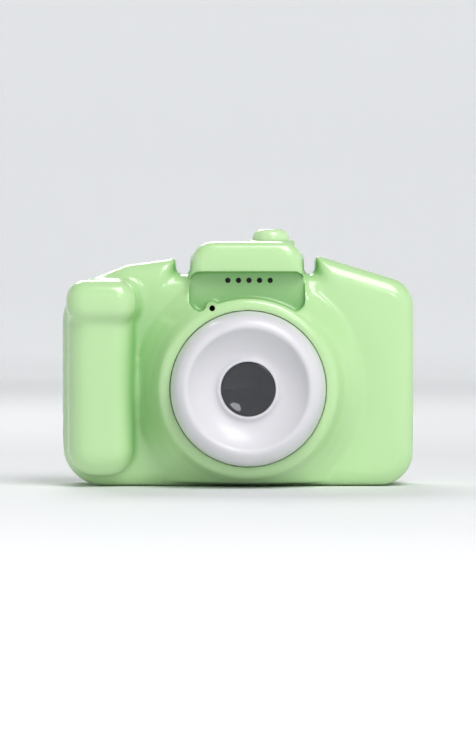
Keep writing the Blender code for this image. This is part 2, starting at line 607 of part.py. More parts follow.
def main():
    clear_scene()
    green = plastic("body_green", (0.515, 0.775, 0.391), 0.26)
    rear_green = plastic("body_green_rear", (0.515, 0.775, 0.391), 0.26)
    white = plastic("ring_white", (0.74, 0.73, 0.75), 0.3)
    key_white = plastic("key_white", (0.86, 0.87, 0.86), 0.35)
    button_green = plastic("button_green", (0.63, 0.84, 0.49), 0.3)
    black = plastic("black_plastic", (0.012, 0.012, 0.014), 0.45)
    clear = tinted("dark_lens", (0.05, 0.05, 0.06), 0.05, 0.6)
    black_glass = tinted("smoked_window", (0.01, 0.01, 0.012), 0.05, 0.3)
    rubber = plastic("flap_rubber", (0.47, 0.73, 0.36), 0.6)
    boot_rubber = plastic("boot_rubber", (0.02, 0.02, 0.02), 0.8)
    board = plastic("circuit_board", (0.02, 0.14, 0.06), 0.4)
    chip = plastic("chip_black", (0.015, 0.015, 0.017), 0.5)
    steel = plastic("steel", (0.6, 0.6, 0.6), 0.3, 1.0)
    barrel_black = plastic("lens_barrel_black", (0.02, 0.02, 0.022), 0.35, 0.6)
    ribbon = plastic("ribbon_amber", (0.45, 0.2, 0.04), 0.4)
    foil = plastic("battery_foil", (0.55, 0.56, 0.58), 0.35, 0.8)
    wire = plastic("wire_red", (0.5, 0.02, 0.02), 0.45)
    tape = plastic("tape_grey", (0.35, 0.35, 0.33), 0.8)
    panel = plastic("lcd_dark", (0.03, 0.035, 0.05), 0.12)
    frame = plastic("lcd_frame_white", (0.75, 0.75, 0.72), 0.5)
    card = plastic("card_black", (0.02, 0.02, 0.022), 0.5)
    keys = key_places()
    make_front_shell(green)
    make_rear_shell(rear_green, keys)
    make_lens_ring(white)
    make_lens(clear, black, barrel_black, board, chip)
    make_sound(black, steel, boot_rubber, wire)
    make_main_board(board, chip, steel, black, card)
    make_display(panel, frame, ribbon, black_glass)
    make_power(foil, wire, tape)
    make_shutter(button_green, black, board, steel, ribbon)
    make_key_board(board, ribbon)
    for name, (x, z, radius) in keys.items():
        make_key(name, x, z, radius, key_white, black, steel)
    make_screws(steel)
    make_port_cover(rubber)


main()
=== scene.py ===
import math

import bpy
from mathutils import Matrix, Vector


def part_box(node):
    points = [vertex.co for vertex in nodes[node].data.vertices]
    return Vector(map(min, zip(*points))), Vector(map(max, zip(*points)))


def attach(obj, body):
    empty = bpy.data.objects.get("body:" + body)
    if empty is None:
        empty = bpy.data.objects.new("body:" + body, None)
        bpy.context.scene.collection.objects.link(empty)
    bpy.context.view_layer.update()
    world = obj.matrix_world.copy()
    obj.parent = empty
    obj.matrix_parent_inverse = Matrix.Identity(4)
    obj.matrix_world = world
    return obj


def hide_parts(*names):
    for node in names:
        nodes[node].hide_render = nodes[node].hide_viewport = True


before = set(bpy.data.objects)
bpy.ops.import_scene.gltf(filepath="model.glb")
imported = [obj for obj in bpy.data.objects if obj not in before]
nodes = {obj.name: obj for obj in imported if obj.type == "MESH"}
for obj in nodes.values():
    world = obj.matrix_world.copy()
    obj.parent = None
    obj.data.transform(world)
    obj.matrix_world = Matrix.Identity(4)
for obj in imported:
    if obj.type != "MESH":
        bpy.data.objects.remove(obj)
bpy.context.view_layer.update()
mm = 0.001


# selection and small modelling helpers

def clearSelection():
    if bpy.context.mode != "OBJECT":
        bpy.ops.object.mode_set(mode="OBJECT")
    bpy.ops.object.select_all(action="DESELECT")


def makeActive(piece):
    clearSelection()
    piece.select_set(True)
    bpy.context.view_layer.objects.active = piece


def settle(piece):  # puts place, turn and size into the mesh
    makeActive(piece)
    bpy.ops.object.transform_apply(location=True, rotation=True, scale=True)
    return piece


def addBlock(name, low, high):
    clearSelection()
    low = Vector(low) * mm
    high = Vector(high) * mm
    bpy.ops.mesh.primitive_cube_add(size=1.0, location=(low + high) / 2, scale=high - low)
    block = bpy.context.object
    block.name = name
    return settle(block)


def pickEdges(piece, wanted):  # ends in edit mode with only the wanted edges selected
    makeActive(piece)
    bpy.ops.object.mode_set(mode="EDIT")
    bpy.ops.mesh.select_mode(type="EDGE")
    bpy.ops.mesh.select_all(action="DESELECT")
    bpy.ops.object.mode_set(mode="OBJECT")
    places = piece.data.vertices
    for edge in piece.data.edges:
        edge.select = wanted(places[edge.vertices[0]].co / mm, places[edge.vertices[1]].co / mm)
    bpy.ops.object.mode_set(mode="EDIT")


def pickFaces(piece, wanted):  # ends in edit mode with only the wanted faces selected
    makeActive(piece)
    bpy.ops.object.mode_set(mode="EDIT")
    bpy.ops.mesh.select_mode(type="FACE")
    bpy.ops.mesh.select_all(action="DESELECT")
    bpy.ops.object.mode_set(mode="OBJECT")
    for face in piece.data.polygons:
        face.select = wanted(face.center / mm, face.normal)
    bpy.ops.object.mode_set(mode="EDIT")


def roundEdges(piece, width, segments, wanted):
    pickEdges(piece, wanted)
    bpy.ops.mesh.bevel(offset=width * mm, segments=segments, affect="EDGES", clamp_overlap=False)
    bpy.ops.object.mode_set(mode="OBJECT")


def runsAlong(axis):
    def test(a, b):
        return abs((b - a).normalized()[axis]) > 0.99
    return test


def roundedBlock(name, low, high, along, corner, segments=8):
    block = addBlock(name, low, high)
    roundEdges(block, corner, segments, runsAlong(along))
    return block


def useModifier(piece, kind, **settings):
    makeActive(piece)
    modifier = piece.modifiers.new(kind.title(), kind)
    for key, value in settings.items():
        setattr(modifier, key, value)
    bpy.ops.object.modifier_apply(modifier=modifier.name)
    return piece


def cutAway(piece, cutter, solver="MANIFOLD"):
    useModifier(piece, "BOOLEAN", object=cutter, operation="DIFFERENCE", solver=solver)
    bpy.data.objects.remove(cutter, do_unlink=True)


def weldOn(piece, other, solver="MANIFOLD"):
    useModifier(piece, "BOOLEAN", object=other, operation="UNION", solver=solver)
    bpy.data.objects.remove(other, do_unlink=True)


def gather(pieces):  # several shapes as one object, which keeps the first one's name
    makeActive(pieces[0])
    for piece in pieces:
        piece.select_set(True)
    bpy.ops.object.join()
    return pieces[0]


def copyOf(piece, name):
    double = piece.copy()
    double.data = piece.data.copy()
    double.name = name
    bpy.context.scene.collection.objects.link(double)
    return double


def moveMesh(piece, offset):
    makeActive(piece)
    piece.location = Vector(offset) * mm
    return settle(piece)


def addRod(name, radius, start, end, axis="Y", sides=48):  # start and end are points, in millimetres
    clearSelection()
    start = Vector(start) * mm
    end = Vector(end) * mm
    turn = {"Y": (math.pi / 2, 0, 0), "Z": (0, 0, 0)}[axis]
    bpy.ops.mesh.primitive_cylinder_add(vertices=sides, radius=radius * mm, depth=(end - start).length,
                                        location=(start + end) / 2, rotation=turn)
    rod = bpy.context.object
    rod.name = name
    return settle(rod)


def spinProfile(name, profile, centre, axis="Y", steps=96, closed=True):
    # a line of (radius, place) points drawn point by point, then spun about the axis
    def point(radius, place):
        if axis == "Y":
            return Vector((centre[0] + radius, place, centre[1])) * mm
        return Vector((centre[0] + radius, centre[1], place)) * mm
    clearSelection()
    bpy.ops.mesh.primitive_plane_add(size=mm, location=point(*profile[0]))
    piece = bpy.context.object
    piece.name = name
    settle(piece)
    bpy.ops.object.mode_set(mode="EDIT")
    bpy.ops.mesh.select_mode(type="VERT")
    bpy.ops.mesh.select_all(action="SELECT")
    bpy.ops.mesh.merge(type="CENTER")
    here = point(*profile[0])
    for radius, place in profile[1:]:
        there = point(radius, place)
        bpy.ops.mesh.extrude_region_move(TRANSFORM_OT_translate={"value": there - here})
        here = there
    if closed:
        bpy.ops.mesh.extrude_region_move(TRANSFORM_OT_translate={"value": point(*profile[0]) - here})
    bpy.ops.mesh.select_all(action="SELECT")
    way = (0, 1, 0) if axis == "Y" else (0, 0, 1)
    bpy.ops.mesh.spin(steps=steps, angle=2 * math.pi, center=point(0, 0), axis=way)
    bpy.ops.mesh.select_all(action="SELECT")
    bpy.ops.mesh.remove_doubles(threshold=0.002 * mm)
    bpy.ops.mesh.dissolve_degenerate(threshold=0.001 * mm)
    bpy.ops.mesh.normals_make_consistent(inside=False)
    bpy.ops.object.mode_set(mode="OBJECT")
    return piece


def softenEdges(piece, width):
    useModifier(piece, "BEVEL", width=width * mm, segments=2, limit_method="ANGLE",
                angle_limit=math.radians(30), use_clamp_overlap=True, harden_normals=False)


def finish(piece, body, material, replaced=(), smoothAngle=35):
    makeActive(piece)
    bpy.ops.object.shade_smooth_by_angle(angle=math.radians(smoothAngle))
    piece.data.materials.clear()
    piece.data.materials.append(material)
    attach(piece, body)
    if replaced:
        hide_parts(*replaced)
    return piece


def middleOf(node):
    low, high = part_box(node)
    return (low + high) / 2 / mm


def sizeOf(node):  # lowest and highest corners, in millimetres
    low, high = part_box(node)
    return low / mm, high / mm


# shader groups

def newGroup(name, inputs, outputs):
    group = bpy.data.node_groups.new(name, "ShaderNodeTree")
    for label, kind, value in inputs:
        socket = group.interface.new_socket(name=label, in_out="INPUT", socket_type=kind)
        socket.default_value = value
    for label, kind in outputs:
        group.interface.new_socket(name=label, in_out="OUTPUT", socket_type=kind)
    return group, group.nodes.new("NodeGroupInput"), group.nodes.new("NodeGroupOutput")


def addNoise(tree, coords, scale, detail=3.0, rough=0.5):
    noise = tree.nodes.new("ShaderNodeTexNoise")
    noise.inputs["Scale"].default_value = scale
    noise.inputs["Detail"].default_value = detail
    noise.inputs["Roughness"].default_value = rough
    tree.links.new(coords, noise.inputs["Vector"])
    return noise.outputs["Fac"]


def addMath(tree, operation, first, second):
    node = tree.nodes.new("ShaderNodeMath")
    node.operation = operation
    for socket, value in zip(node.inputs, (first, second)):
        if isinstance(value, (int, float)):
            socket.default_value = value
        else:
            tree.links.new(value, socket)
    return node.outputs[0]


def addMix(tree, amount, first, second):
    node = tree.nodes.new("ShaderNodeMix")
    node.data_type = "RGBA"
    for socket, value in ((node.inputs[0], amount), (node.inputs[6], first), (node.inputs[7], second)):
        if isinstance(value, (int, float, tuple)):
            socket.default_value = value
        else:
            tree.links.new(value, socket)
    return node.outputs[2]


def addRange(tree, value, low, high, newLow=0.0, newHigh=1.0):
    node = tree.nodes.new("ShaderNodeMapRange")
    tree.links.new(value, node.inputs["Value"])
    for label, number in (("From Min", low), ("From Max", high), ("To Min", newLow), ("To Max", newHigh)):
        if isinstance(number, (int, float)):
            node.inputs[label].default_value = number
        else:
            tree.links.new(number, node.inputs[label])
    return node.outputs["Result"]


# the last three set the painted shade: how far the occlusion looks, and the occlusion at which the darkening
# starts and where it is full
mould = {"driftScale": 45.0, "smearScale": 240.0, "grainScale": 5200.0, "waveScale": 110.0, "waveHeight": 2.2,
         "shadeReach": 0.011, "shadeStart": 0.92, "shadeFull": 0.35}


def makeMouldGroup():  # moulded plastic: slow drift of tone, painted shade darkening nooks and recesses, fine grain, uneven gloss
    group, source, result = newGroup(
        "mouldedPlastic",
        (("Tone", "NodeSocketColor", (1, 1, 1, 1)), ("Deep", "NodeSocketColor", (1, 1, 1, 1)),
         ("Painted Shade", "NodeSocketColor", (1, 1, 1, 1)), ("Painted Shade Depth", "NodeSocketFloat", 0.0),
         ("Drift", "NodeSocketFloat", 0.5), ("Rough Low", "NodeSocketFloat", 0.2),
         ("Rough High", "NodeSocketFloat", 0.3), ("Grain", "NodeSocketFloat", 0.1)),
        (("Color", "NodeSocketColor"), ("Roughness", "NodeSocketFloat"), ("Height", "NodeSocketFloat")))
    place = group.nodes.new("ShaderNodeTexCoord").outputs["Object"]
    drift = addRange(group, addNoise(group, place, mould["driftScale"], 2.0), 0.3, 0.7)
    amount = addMath(group, "MULTIPLY", drift, source.outputs["Drift"])
    flat = addMix(group, amount, source.outputs["Tone"], source.outputs["Deep"])
    # painted shade: ambient occlusion from the piece's own shape darkens the colour towards the shade tone in
    # nooks, recesses and crevices
    occlusionNode = group.nodes.new("ShaderNodeAmbientOcclusion")
    occlusionNode.samples = 8
    occlusionNode.only_local = True
    occlusionNode.inputs["Distance"].default_value = mould["shadeReach"]
    paintedShadeAmount = addRange(group, occlusionNode.outputs["AO"], mould["shadeStart"], mould["shadeFull"])
    paintedShadeAmount = addMath(group, "MULTIPLY", paintedShadeAmount, source.outputs["Painted Shade Depth"])
    group.links.new(addMix(group, paintedShadeAmount, flat, source.outputs["Painted Shade"]), result.inputs["Color"])
    smear = addNoise(group, place, mould["smearScale"], 3.0, 0.5)
    gloss = addRange(group, smear, 0.3, 0.7, source.outputs["Rough Low"], source.outputs["Rough High"])
    group.links.new(gloss, result.inputs["Roughness"])
    grain = addNoise(group, place, mould["grainScale"], 2.0)
    grain = addMath(group, "MULTIPLY", grain, source.outputs["Grain"])
    waves = addNoise(group, place, mould["waveScale"], 2.0)
    waves = addMath(group, "MULTIPLY", waves, mould["waveHeight"])
    group.links.new(addMath(group, "ADD", grain, waves), result.inputs["Height"])
    return group


def makeRubGroup():  # paler, drier edges where hands and pockets rub
    group, source, result = newGroup(
        "rubbedEdges",
        (("Color", "NodeSocketColor", (1, 1, 1, 1)), ("Rubbed", "NodeSocketColor", (1, 1, 1, 1)),
         ("Amount", "NodeSocketFloat", 0.3), ("Roughness", "NodeSocketFloat", 0.3)),
        (("Color", "NodeSocketColor"), ("Roughness", "NodeSocketFloat")))
    place = group.nodes.new("ShaderNodeTexCoord").outputs["Object"]
    edge = addRange(group, group.nodes.new("ShaderNodeNewGeometry").outputs["Pointiness"], 0.52, 0.6)
    patch = addRange(group, addNoise(group, place, 260.0, 4.0, 0.65), 0.42, 0.62)
    mask = addMath(group, "MULTIPLY", addMath(group, "MULTIPLY", edge, patch), source.outputs["Amount"])
    tone = addMix(group, mask, source.outputs["Color"], source.outputs["Rubbed"])
    group.links.new(tone, result.inputs["Color"])
    dry = addMath(group, "ADD", source.outputs["Roughness"], addMath(group, "MULTIPLY", mask, 0.25))
    group.links.new(dry, result.inputs["Roughness"])
    return group


def makeBrushGroup():  # metal drawn or plated in one direction
    group, source, result = newGroup(
        "drawnMetal",
        (("Tone", "NodeSocketColor", (0.6, 0.6, 0.6, 1)), ("Dull", "NodeSocketColor", (0.4, 0.4, 0.4, 1)),
         ("Rough Low", "NodeSocketFloat", 0.2), ("Rough High", "NodeSocketFloat", 0.4)),
        (("Color", "NodeSocketColor"), ("Roughness", "NodeSocketFloat"), ("Height", "NodeSocketFloat")))
    place = group.nodes.new("ShaderNodeTexCoord").outputs["Object"]
    stretch = group.nodes.new("ShaderNodeMapping")
    stretch.inputs["Scale"].default_value = (1.0, 1.0, 14.0)
    group.links.new(place, stretch.inputs["Vector"])
    lines = addNoise(group, stretch.outputs["Vector"], 900.0, 3.0, 0.6)
    stain = addNoise(group, place, 240.0, 4.0, 0.6)
    tone = addMix(group, addRange(group, stain, 0.4, 0.7), source.outputs["Tone"], source.outputs["Dull"])
    group.links.new(tone, result.inputs["Color"])
    gloss = addRange(group, lines, 0.3, 0.7, source.outputs["Rough Low"], source.outputs["Rough High"])
    group.links.new(gloss, result.inputs["Roughness"])
    group.links.new(lines, result.inputs["Height"])
    return group


mouldGroup = makeMouldGroup()
rubGroup = makeRubGroup()
brushGroup = makeBrushGroup()


def newMaterial(name):
    material = bpy.data.materials.new(name)
    material.use_nodes = True
    return material, material.node_tree, material.node_tree.nodes["Principled BSDF"]


def placeGroup(tree, group, values):
    node = tree.nodes.new("ShaderNodeGroup")
    node.node_tree = group
    for label, value in values.items():
        if isinstance(value, (int, float, tuple)):
            node.inputs[label].default_value = value
        else:
            tree.links.new(value, node.inputs[label])
    return node


def addBump(tree, shader, height, strength, distance):
    bump = tree.nodes.new("ShaderNodeBump")
    bump.inputs["Strength"].default_value = strength
    bump.inputs["Distance"].default_value = distance * mm
    tree.links.new(height, bump.inputs["Height"])
    tree.links.new(bump.outputs["Normal"], shader.inputs["Normal"])


def plasticLook(name, look):
    material, tree, shader = newMaterial(name)
    # every plastic gets painted shade in its nooks: the look's own shade colour, or else its deep tone at half
    # strength
    plastic = placeGroup(tree, mouldGroup, {
        "Tone": (*look["tone"], 1), "Deep": (*look["deep"], 1), "Drift": 0.6,
        "Painted Shade": (*look.get("paintedShade", look["deep"]), 1), "Painted Shade Depth": look.get("paintedShadeDepth", 0.5),
        "Rough Low": look["rough"][0], "Rough High": look["rough"][1], "Grain": look["grain"]})
    rub = placeGroup(tree, rubGroup, {
        "Color": plastic.outputs["Color"], "Rubbed": (*look["rubbed"], 1), "Amount": look["rub"],
        "Roughness": plastic.outputs["Roughness"]})
    tree.links.new(rub.outputs["Color"], shader.inputs["Base Color"])
    tree.links.new(rub.outputs["Roughness"], shader.inputs["Roughness"])
    addBump(tree, shader, plastic.outputs["Height"], look["bump"], look.get("depth", 0.02))
    shader.inputs["IOR"].default_value = 1.5
    shader.inputs["Subsurface Weight"].default_value = look.get("glow", 0.0)
    shader.inputs["Subsurface Radius"].default_value = (0.9, 1.0, 0.6)
    shader.inputs["Subsurface Scale"].default_value = 0.0012
    shader.inputs["Coat Weight"].default_value = look.get("coat", 0.0)
    shader.inputs["Coat Roughness"].default_value = 0.08
    return material


def metalLook(name, look):
    material, tree, shader = newMaterial(name)
    metal = placeGroup(tree, brushGroup, {
        "Tone": (*look["tone"], 1), "Dull": (*look["dull"], 1),
        "Rough Low": look["rough"][0], "Rough High": look["rough"][1]})
    tree.links.new(metal.outputs["Color"], shader.inputs["Base Color"])
    tree.links.new(metal.outputs["Roughness"], shader.inputs["Roughness"])
    addBump(tree, shader, metal.outputs["Height"], 0.2, 0.01)
    shader.inputs["Metallic"].default_value = look["metal"]
    return material


def glassLook(name, look):
    material, tree, shader = newMaterial(name)
    clear = placeGroup(tree, mouldGroup, {
        "Tone": (*look["tone"], 1), "Deep": (*look["deep"], 1), "Drift": 0.5,
        "Rough Low": look["rough"][0], "Rough High": look["rough"][1], "Grain": 0.0})
    tree.links.new(clear.outputs["Color"], shader.inputs["Base Color"])
    tree.links.new(clear.outputs["Roughness"], shader.inputs["Roughness"])
    addBump(tree, shader, clear.outputs["Height"], look["bump"], 0.01)
    shader.inputs["Transmission Weight"].default_value = look["clear"]
    shader.inputs["IOR"].default_value = 1.5
    return material


def boardLook(name):  # solder mask over copper tracks, with bright pads
    material, tree, shader = newMaterial(name)
    place = tree.nodes.new("ShaderNodeTexCoord").outputs["Object"]
    tracks = tree.nodes.new("ShaderNodeTexVoronoi")
    tracks.distance = "MANHATTAN"
    tracks.feature = "F1"
    tracks.inputs["Scale"].default_value = 420.0
    tree.links.new(place, tracks.inputs["Vector"])
    line = addRange(tree, tracks.outputs["Distance"], 0.42, 0.5)
    pads = tree.nodes.new("ShaderNodeTexVoronoi")
    pads.inputs["Scale"].default_value = 520.0
    tree.links.new(place, pads.inputs["Vector"])
    pad = addRange(tree, pads.outputs["Distance"], 0.16, 0.12)
    mask = addMix(tree, line, (0.012, 0.14, 0.06, 1), (0.02, 0.24, 0.1, 1))
    tree.links.new(addMix(tree, pad, mask, (0.72, 0.6, 0.3, 1)), shader.inputs["Base Color"])
    tree.links.new(pad, shader.inputs["Metallic"])
    gloss = addRange(tree, addNoise(tree, place, 600.0), 0.3, 0.7, 0.25, 0.4)
    tree.links.new(gloss, shader.inputs["Roughness"])
    addBump(tree, shader, addMath(tree, "ADD", line, pad), 0.4, 0.03)
    return material


def ribbonLook(name):  # amber film over copper lines
    material, tree, shader = newMaterial(name)
    place = tree.nodes.new("ShaderNodeTexCoord").outputs["Object"]
    lines = tree.nodes.new("ShaderNodeTexWave")
    lines.inputs["Scale"].default_value = 700.0
    lines.inputs["Distortion"].default_value = 0.0
    tree.links.new(place, lines.inputs["Vector"])
    line = addRange(tree, lines.outputs["Fac"], 0.4, 0.6)
    tone = addMix(tree, line, (0.32, 0.13, 0.02, 1), (0.6, 0.3, 0.08, 1))
    tree.links.new(tone, shader.inputs["Base Color"])
    gloss = addRange(tree, addNoise(tree, place, 500.0), 0.3, 0.7, 0.2, 0.35)
    tree.links.new(gloss, shader.inputs["Roughness"])
    addBump(tree, shader, line, 0.3, 0.02)
    return material


def foilLook(name):  # crinkled silver pouch
    material, tree, shader = newMaterial(name)
    place = tree.nodes.new("ShaderNodeTexCoord").outputs["Object"]
    folds = tree.nodes.new("ShaderNodeTexVoronoi")
    folds.inputs["Scale"].default_value = 300.0
    tree.links.new(place, folds.inputs["Vector"])
    tone = addMix(tree, addNoise(tree, place, 120.0), (0.5, 0.51, 0.53, 1), (0.68, 0.69, 0.7, 1))
    tree.links.new(tone, shader.inputs["Base Color"])
    gloss = addRange(tree, addNoise(tree, place, 700.0), 0.3, 0.7, 0.25, 0.42)
    tree.links.new(gloss, shader.inputs["Roughness"])
    shader.inputs["Metallic"].default_value = 0.9
    addBump(tree, shader, folds.outputs["Distance"], 0.5, 0.12)
    return material


looks = {
    # the darkest colour of bodyGreen and ringWhite, with its strength, is painted shade for recesses, crevices
    # and the valley beside the barrel
    "bodyGreen": {"tone": (0.53, 0.79, 0.4), "deep": (0.505, 0.765, 0.38), "rubbed": (0.66, 0.86, 0.55),
                  "paintedShade": (0.22, 0.5, 0.16), "paintedShadeDepth": 1.0, "coat": 0.55,
                  "rough": (0.2, 0.27), "grain": 0.12, "bump": 0.22, "rub": 0.06, "glow": 0.12},
    "buttonGreen": {"tone": (0.62, 0.84, 0.48), "deep": (0.58, 0.81, 0.45), "rubbed": (0.74, 0.9, 0.63),
                    "coat": 0.3,
                    "rough": (0.2, 0.26), "grain": 0.1, "bump": 0.15, "rub": 0.05, "glow": 0.12},
    "ringWhite": {"tone": (0.745, 0.735, 0.765), "deep": (0.72, 0.71, 0.74), "rubbed": (0.85, 0.85, 0.86),
                  "paintedShade": (0.6, 0.585, 0.63), "paintedShadeDepth": 0.8, "coat": 0.1,
                  "rough": (0.32, 0.37), "grain": 0.1, "bump": 0.06, "rub": 0.0, "glow": 0.1},
    "keyWhite": {"tone": (0.86, 0.87, 0.86), "deep": (0.82, 0.83, 0.82), "rubbed": (0.93, 0.93, 0.92),
                 "rough": (0.24, 0.34), "grain": 0.1, "bump": 0.2, "rub": 0.3, "glow": 0.1},
    "markGrey": {"tone": (0.16, 0.24, 0.15), "deep": (0.12, 0.2, 0.12), "rubbed": (0.3, 0.38, 0.28),
                 "rough": (0.4, 0.55), "grain": 0.2, "bump": 0.2, "rub": 0.4},
    "flapGreen": {"tone": (0.46, 0.72, 0.35), "deep": (0.42, 0.68, 0.31), "rubbed": (0.55, 0.78, 0.45),
                  "rough": (0.5, 0.62), "grain": 0.5, "bump": 0.35, "depth": 0.03, "rub": 0.3},
    "blackMould": {"tone": (0.018, 0.018, 0.02), "deep": (0.011, 0.011, 0.012), "rubbed": (0.06, 0.06, 0.062),
                   "rough": (0.38, 0.55), "grain": 0.5, "bump": 0.35, "rub": 0.4},
    "chipBlack": {"tone": (0.022, 0.022, 0.024), "deep": (0.013, 0.013, 0.015), "rubbed": (0.06, 0.06, 0.06),
                  "rough": (0.4, 0.52), "grain": 0.6, "bump": 0.35, "rub": 0.2},
    "bootBlack": {"tone": (0.03, 0.03, 0.03), "deep": (0.02, 0.02, 0.02), "rubbed": (0.07, 0.07, 0.07),
                  "rough": (0.7, 0.85), "grain": 0.7, "bump": 0.4, "rub": 0.2},
    "frameWhite": {"tone": (0.72, 0.72, 0.69), "deep": (0.66, 0.66, 0.63), "rubbed": (0.8, 0.8, 0.78),
                   "rough": (0.45, 0.58), "grain": 0.4, "bump": 0.3, "rub": 0.2},
    "cardBlack": {"tone": (0.02, 0.02, 0.023), "deep": (0.014, 0.014, 0.016), "rubbed": (0.08, 0.08, 0.08),
                  "rough": (0.42, 0.55), "grain": 0.4, "bump": 0.3, "rub": 0.4},
    "tapeGrey": {"tone": (0.36, 0.36, 0.34), "deep": (0.28, 0.28, 0.27), "rubbed": (0.42, 0.42, 0.4),
                 "rough": (0.8, 0.92), "grain": 1.4, "bump": 0.8, "depth": 0.06, "rub": 0.2},
    "wireRed": {"tone": (0.5, 0.025, 0.02), "deep": (0.42, 0.02, 0.016), "rubbed": (0.6, 0.12, 0.1),
                "rough": (0.38, 0.5), "grain": 0.3, "bump": 0.25, "rub": 0.3},
}
plastics = {name: plasticLook(name, look) for name, look in looks.items()}
steel = metalLook("platedSteel", {"tone": (0.62, 0.61, 0.6), "dull": (0.45, 0.44, 0.43),
                                  "rough": (0.2, 0.38), "metal": 1.0})
barrelMetal = metalLook("blackBarrel", {"tone": (0.03, 0.03, 0.033), "dull": (0.02, 0.02, 0.02),
                                        "rough": (0.3, 0.45), "metal": 0.6})
windowGlass = glassLook("smokedLens", {"tone": (0.16, 0.16, 0.18), "deep": (0.12, 0.12, 0.135),
                                       "rough": (0.02, 0.05), "clear": 0.8, "bump": 0.12})
lensGlass = glassLook("coatedLens", {"tone": (0.55, 0.5, 0.8), "deep": (0.45, 0.65, 0.7),
                                     "rough": (0.01, 0.03), "clear": 0.9, "bump": 0.05})
boardGreen = boardLook("solderMask")
ribbonAmber = ribbonLook("amberFilm")
foilSilver = foilLook("pouchFoil")
print("materials made")


# housing

body = {  # millimetres, as in the other pieces' dictionaries
    "side": 40.0, "panelFront": -5.0, "panelBack": 21.3, "frontFillet": 4.0, "backFillet": 3.5, "wall": 1.8,
    "top": 53.2, "gapFront": 10.3, "gapBack": 10.7,
    "leftShoulder": (-40.0, 44.7), "leftBreak": (-25.5, 50.4), "leftPeak": (-14.2, 51.9),
    "rightShoulder": (40.0, 45.8), "rightPeak": (17.6, 52.6),
    "lowLeft": 9.5, "lowRight": 8.0, "topLeft": 7.0, "topRight": 4.5,  # corner radii
    "notchLeft": (-14.2, -10.9), "notchRight": (15.0, 17.6), "notchFloor": 48.2,
    "coarse": 0.6, "soften": 6, "fine": 0.4,  # voxels, and rounds of smoothing
}
cap = {"left": -11.2, "right": 15.3, "low": 44.0, "high": 55.7, "front": -8.5, "taper": 0.92,
       "corner": 4.4, "fillet": 2.6, "backFillet": 2.4}
grip = {"left": -38.6, "right": -23.6, "low": 2.4, "high": 45.0, "front": -11.2, "back": 3.0, "spread": 4.2,
        "corner": 6.2, "frontCorner": 5.0, "wall": 1.9}
gripHead = {"left": -38.9, "right": -23.0, "low": 36.6, "high": 47.0, "front": -13.0, "back": 3.0,
            "spread": 4.2, "corner": 4.4, "frontCorner": 4.2}
barrel = {
    "flare": [(0.0, 4.0), (29.0, 4.0), (28.6, -3.4), (26.5, -5.0), (23.8, -7.0), (21.9, -9.4), (20.6, -12.4),
              (20.2, -13.5), (19.6, -14.2), (0.0, -14.2)],
    "hollow": [(0.0, -2.0), (23.2, -2.0), (23.2, -4.8), (20.8, -7.4), (0.0, -7.4)],
    "foot": 0.8, "hollowHigh": 38.2, "hollowLow": 2.8, "seatGap": 0.12, "seatBack": -9.2,
}
recess = {"left": -11.0, "right": 15.2, "low": 39.8, "high": 48.8, "sunk": 0.3, "corner": 2.6,
          "rim": 20.3, "micBoss": 1.6}
strap = {"y": 0.2, "z": 11.5, "halfDepth": 2.4, "halfHeight": 4.6, "corner": 2.3, "wall": 1.2}
bosses = {"screw": 2.9, "screwHole": 1.3, "board": 1.9, "boardHole": 1.0, "counterbore": 2.15,
          "headSeat": 16.5}
lensX, lensZ = middleOf("lens_ring").xz
ring = {"outer": 17.5, "crest": -22.5, "crestRadius": 13.9, "lipOuter": 6.75, "bore": 6.15, "back": -9.5}


def sliceOff(piece, first, second):  # removes what lies above the line through two (x, z) points
    way = Vector((second[0] - first[0], 0, second[1] - first[1])).normalized()
    makeActive(piece)
    bpy.ops.object.mode_set(mode="EDIT")
    bpy.ops.mesh.select_all(action="SELECT")
    bpy.ops.mesh.bisect(plane_co=Vector((first[0], 0, first[1])) * mm, plane_no=(-way.z, 0, way.x),
                        use_fill=True, clear_outer=True)
    bpy.ops.object.mode_set(mode="OBJECT")


def atPlace(x, z, reach=0.4):
    def test(a, b):
        return all(abs(end.x - x) < reach and abs(end.z - z) < reach for end in (a, b))
    return test


def onPlane(axis, place):
    def test(a, b):
        return abs(a[axis] - place) < 0.01 and abs(b[axis] - place) < 0.01
    return test


def makeCore(name, inset):  # the rounded body without grip, barrel or cap, drawn in by the inset
    side = body["side"] - inset
    block = addBlock(name, (-side, body["panelFront"] + inset, inset),
                     (side, body["panelBack"] - inset, body["top"] - inset))
    lower = Vector((0, inset))
    leftEnd, leftBreak, leftPeak, rightPeak, rightEnd = [
        Vector(body[key]) - lower for key in
        ("leftShoulder", "leftBreak", "leftPeak", "rightPeak", "rightShoulder")]
    sliceOff(block, leftEnd, leftBreak)
    sliceOff(block, leftBreak, leftPeak)
    sliceOff(block, rightPeak, rightEnd)
    roundEdges(block, body["lowLeft"] - inset, 10, atPlace(-side, inset))
    roundEdges(block, body["lowRight"] - inset, 10, atPlace(side, inset))
    leftRise = (leftBreak.y - leftEnd.y) / (leftBreak.x - leftEnd.x)  # the drawn-in side meets the roof higher
    rightRise = (rightPeak.y - rightEnd.y) / (rightEnd.x - rightPeak.x)
    roundEdges(block, body["topLeft"] - inset, 10, atPlace(-side, leftEnd.y + inset * leftRise))
    roundEdges(block, body["topRight"] - inset, 8, atPlace(side, rightEnd.y + inset * rightRise))
    return block


def makeCap(name, inset):
    block = addBlock(name, (cap["left"] + inset, cap["front"] + inset, cap["low"]),
                     (cap["right"] - inset, body["panelBack"] - inset, cap["high"] - inset))
    pickFaces(block, lambda centre, normal: normal.z > 0.9)
    bpy.ops.transform.resize(value=(cap["taper"], 1, 1))
    bpy.ops.object.mode_set(mode="OBJECT")
    roundEdges(block, cap["corner"] - inset, 10,
               lambda a, b: runsAlong(1)(a, b) and min(a.z, b.z) > cap["high"] - inset - 0.1)
    return block


